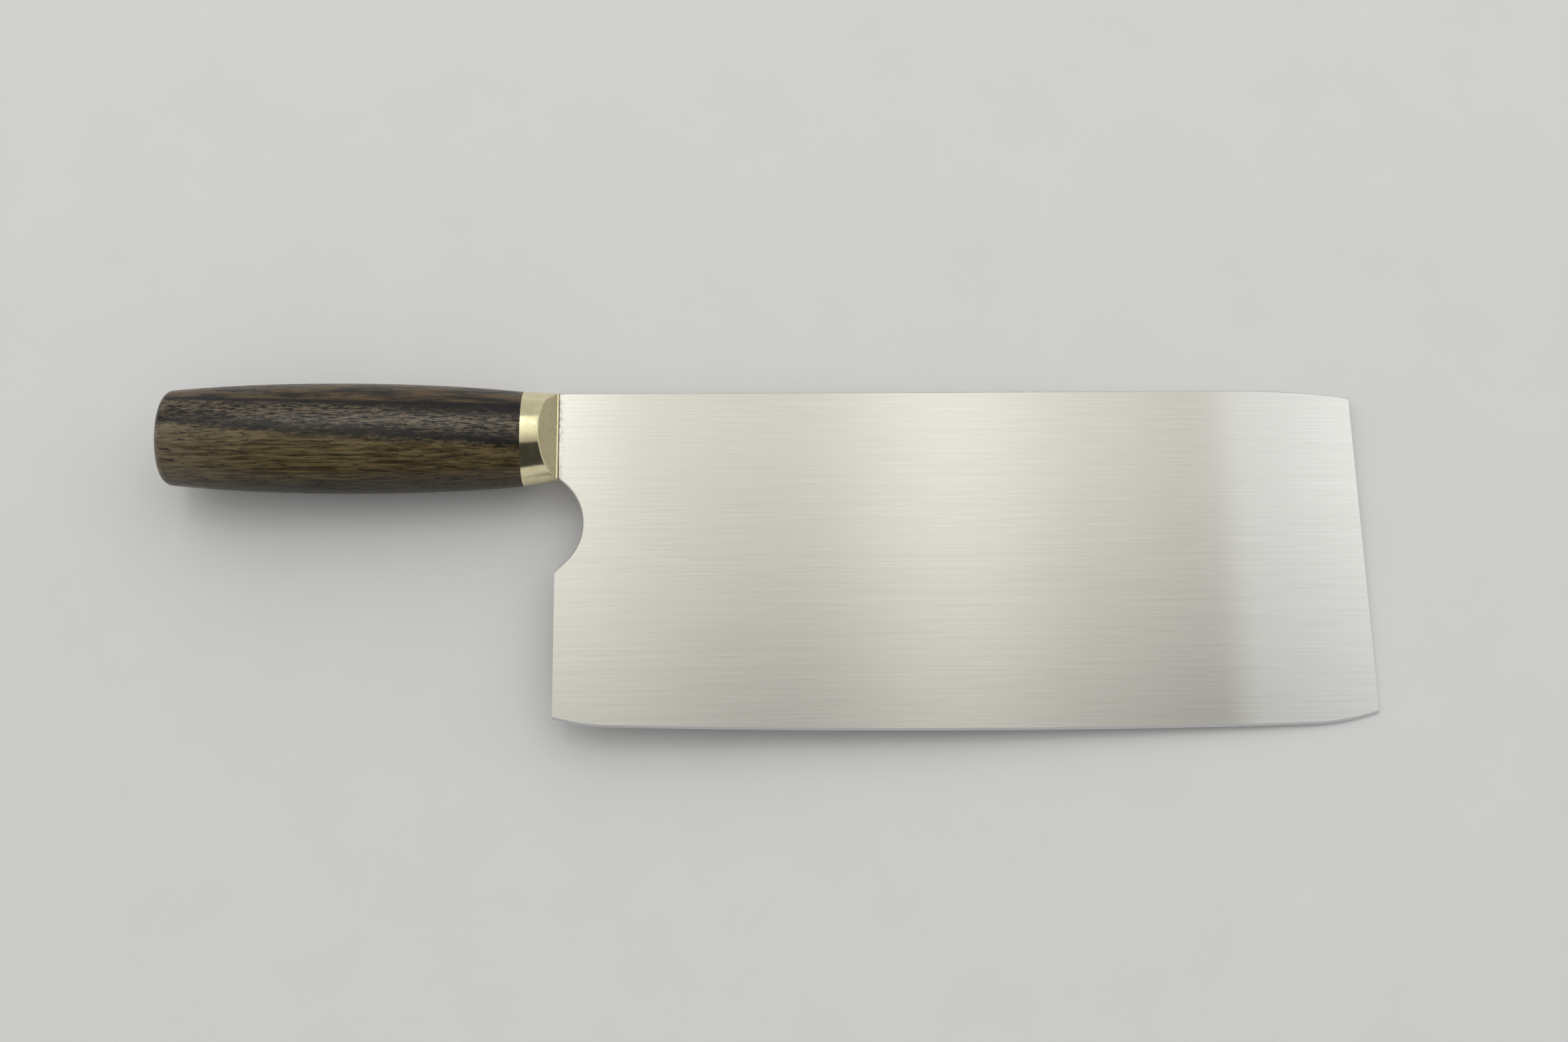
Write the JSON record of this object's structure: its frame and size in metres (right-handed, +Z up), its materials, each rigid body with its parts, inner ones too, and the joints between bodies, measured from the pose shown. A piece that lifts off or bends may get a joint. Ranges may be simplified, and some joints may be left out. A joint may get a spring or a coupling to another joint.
{
  "type": "chinese cleaver",
  "caption": "Wide rectangular vegetable cleaver with a bellied edge, a finger notch, a solid metal bolster and an oval wooden handle on a hidden tang.",
  "frame": {"origin": "middle of the footprint of the lying knife, on the surface that it lies on", "axes": "+X from the handle's butt to the blade's toe, +Y from the cutting edge to the spine, +Z up, out of the side that faces the camera"},
  "size_m": [0.3254, 0.0962, 0.0245],
  "materials": {
    "blade_steel": "fine lengthwise satin",
    "bolster_brass": "turned and polished",
    "handle_wood": "oiled and polished",
    "set_adhesive": "as set"
  },
  "bodies": {
    "root": {"blade": "blade_steel", "bolster": "bolster_brass", "handle": "handle_wood", "tang_bedding": "set_adhesive"}
  },
  "joints": []
}
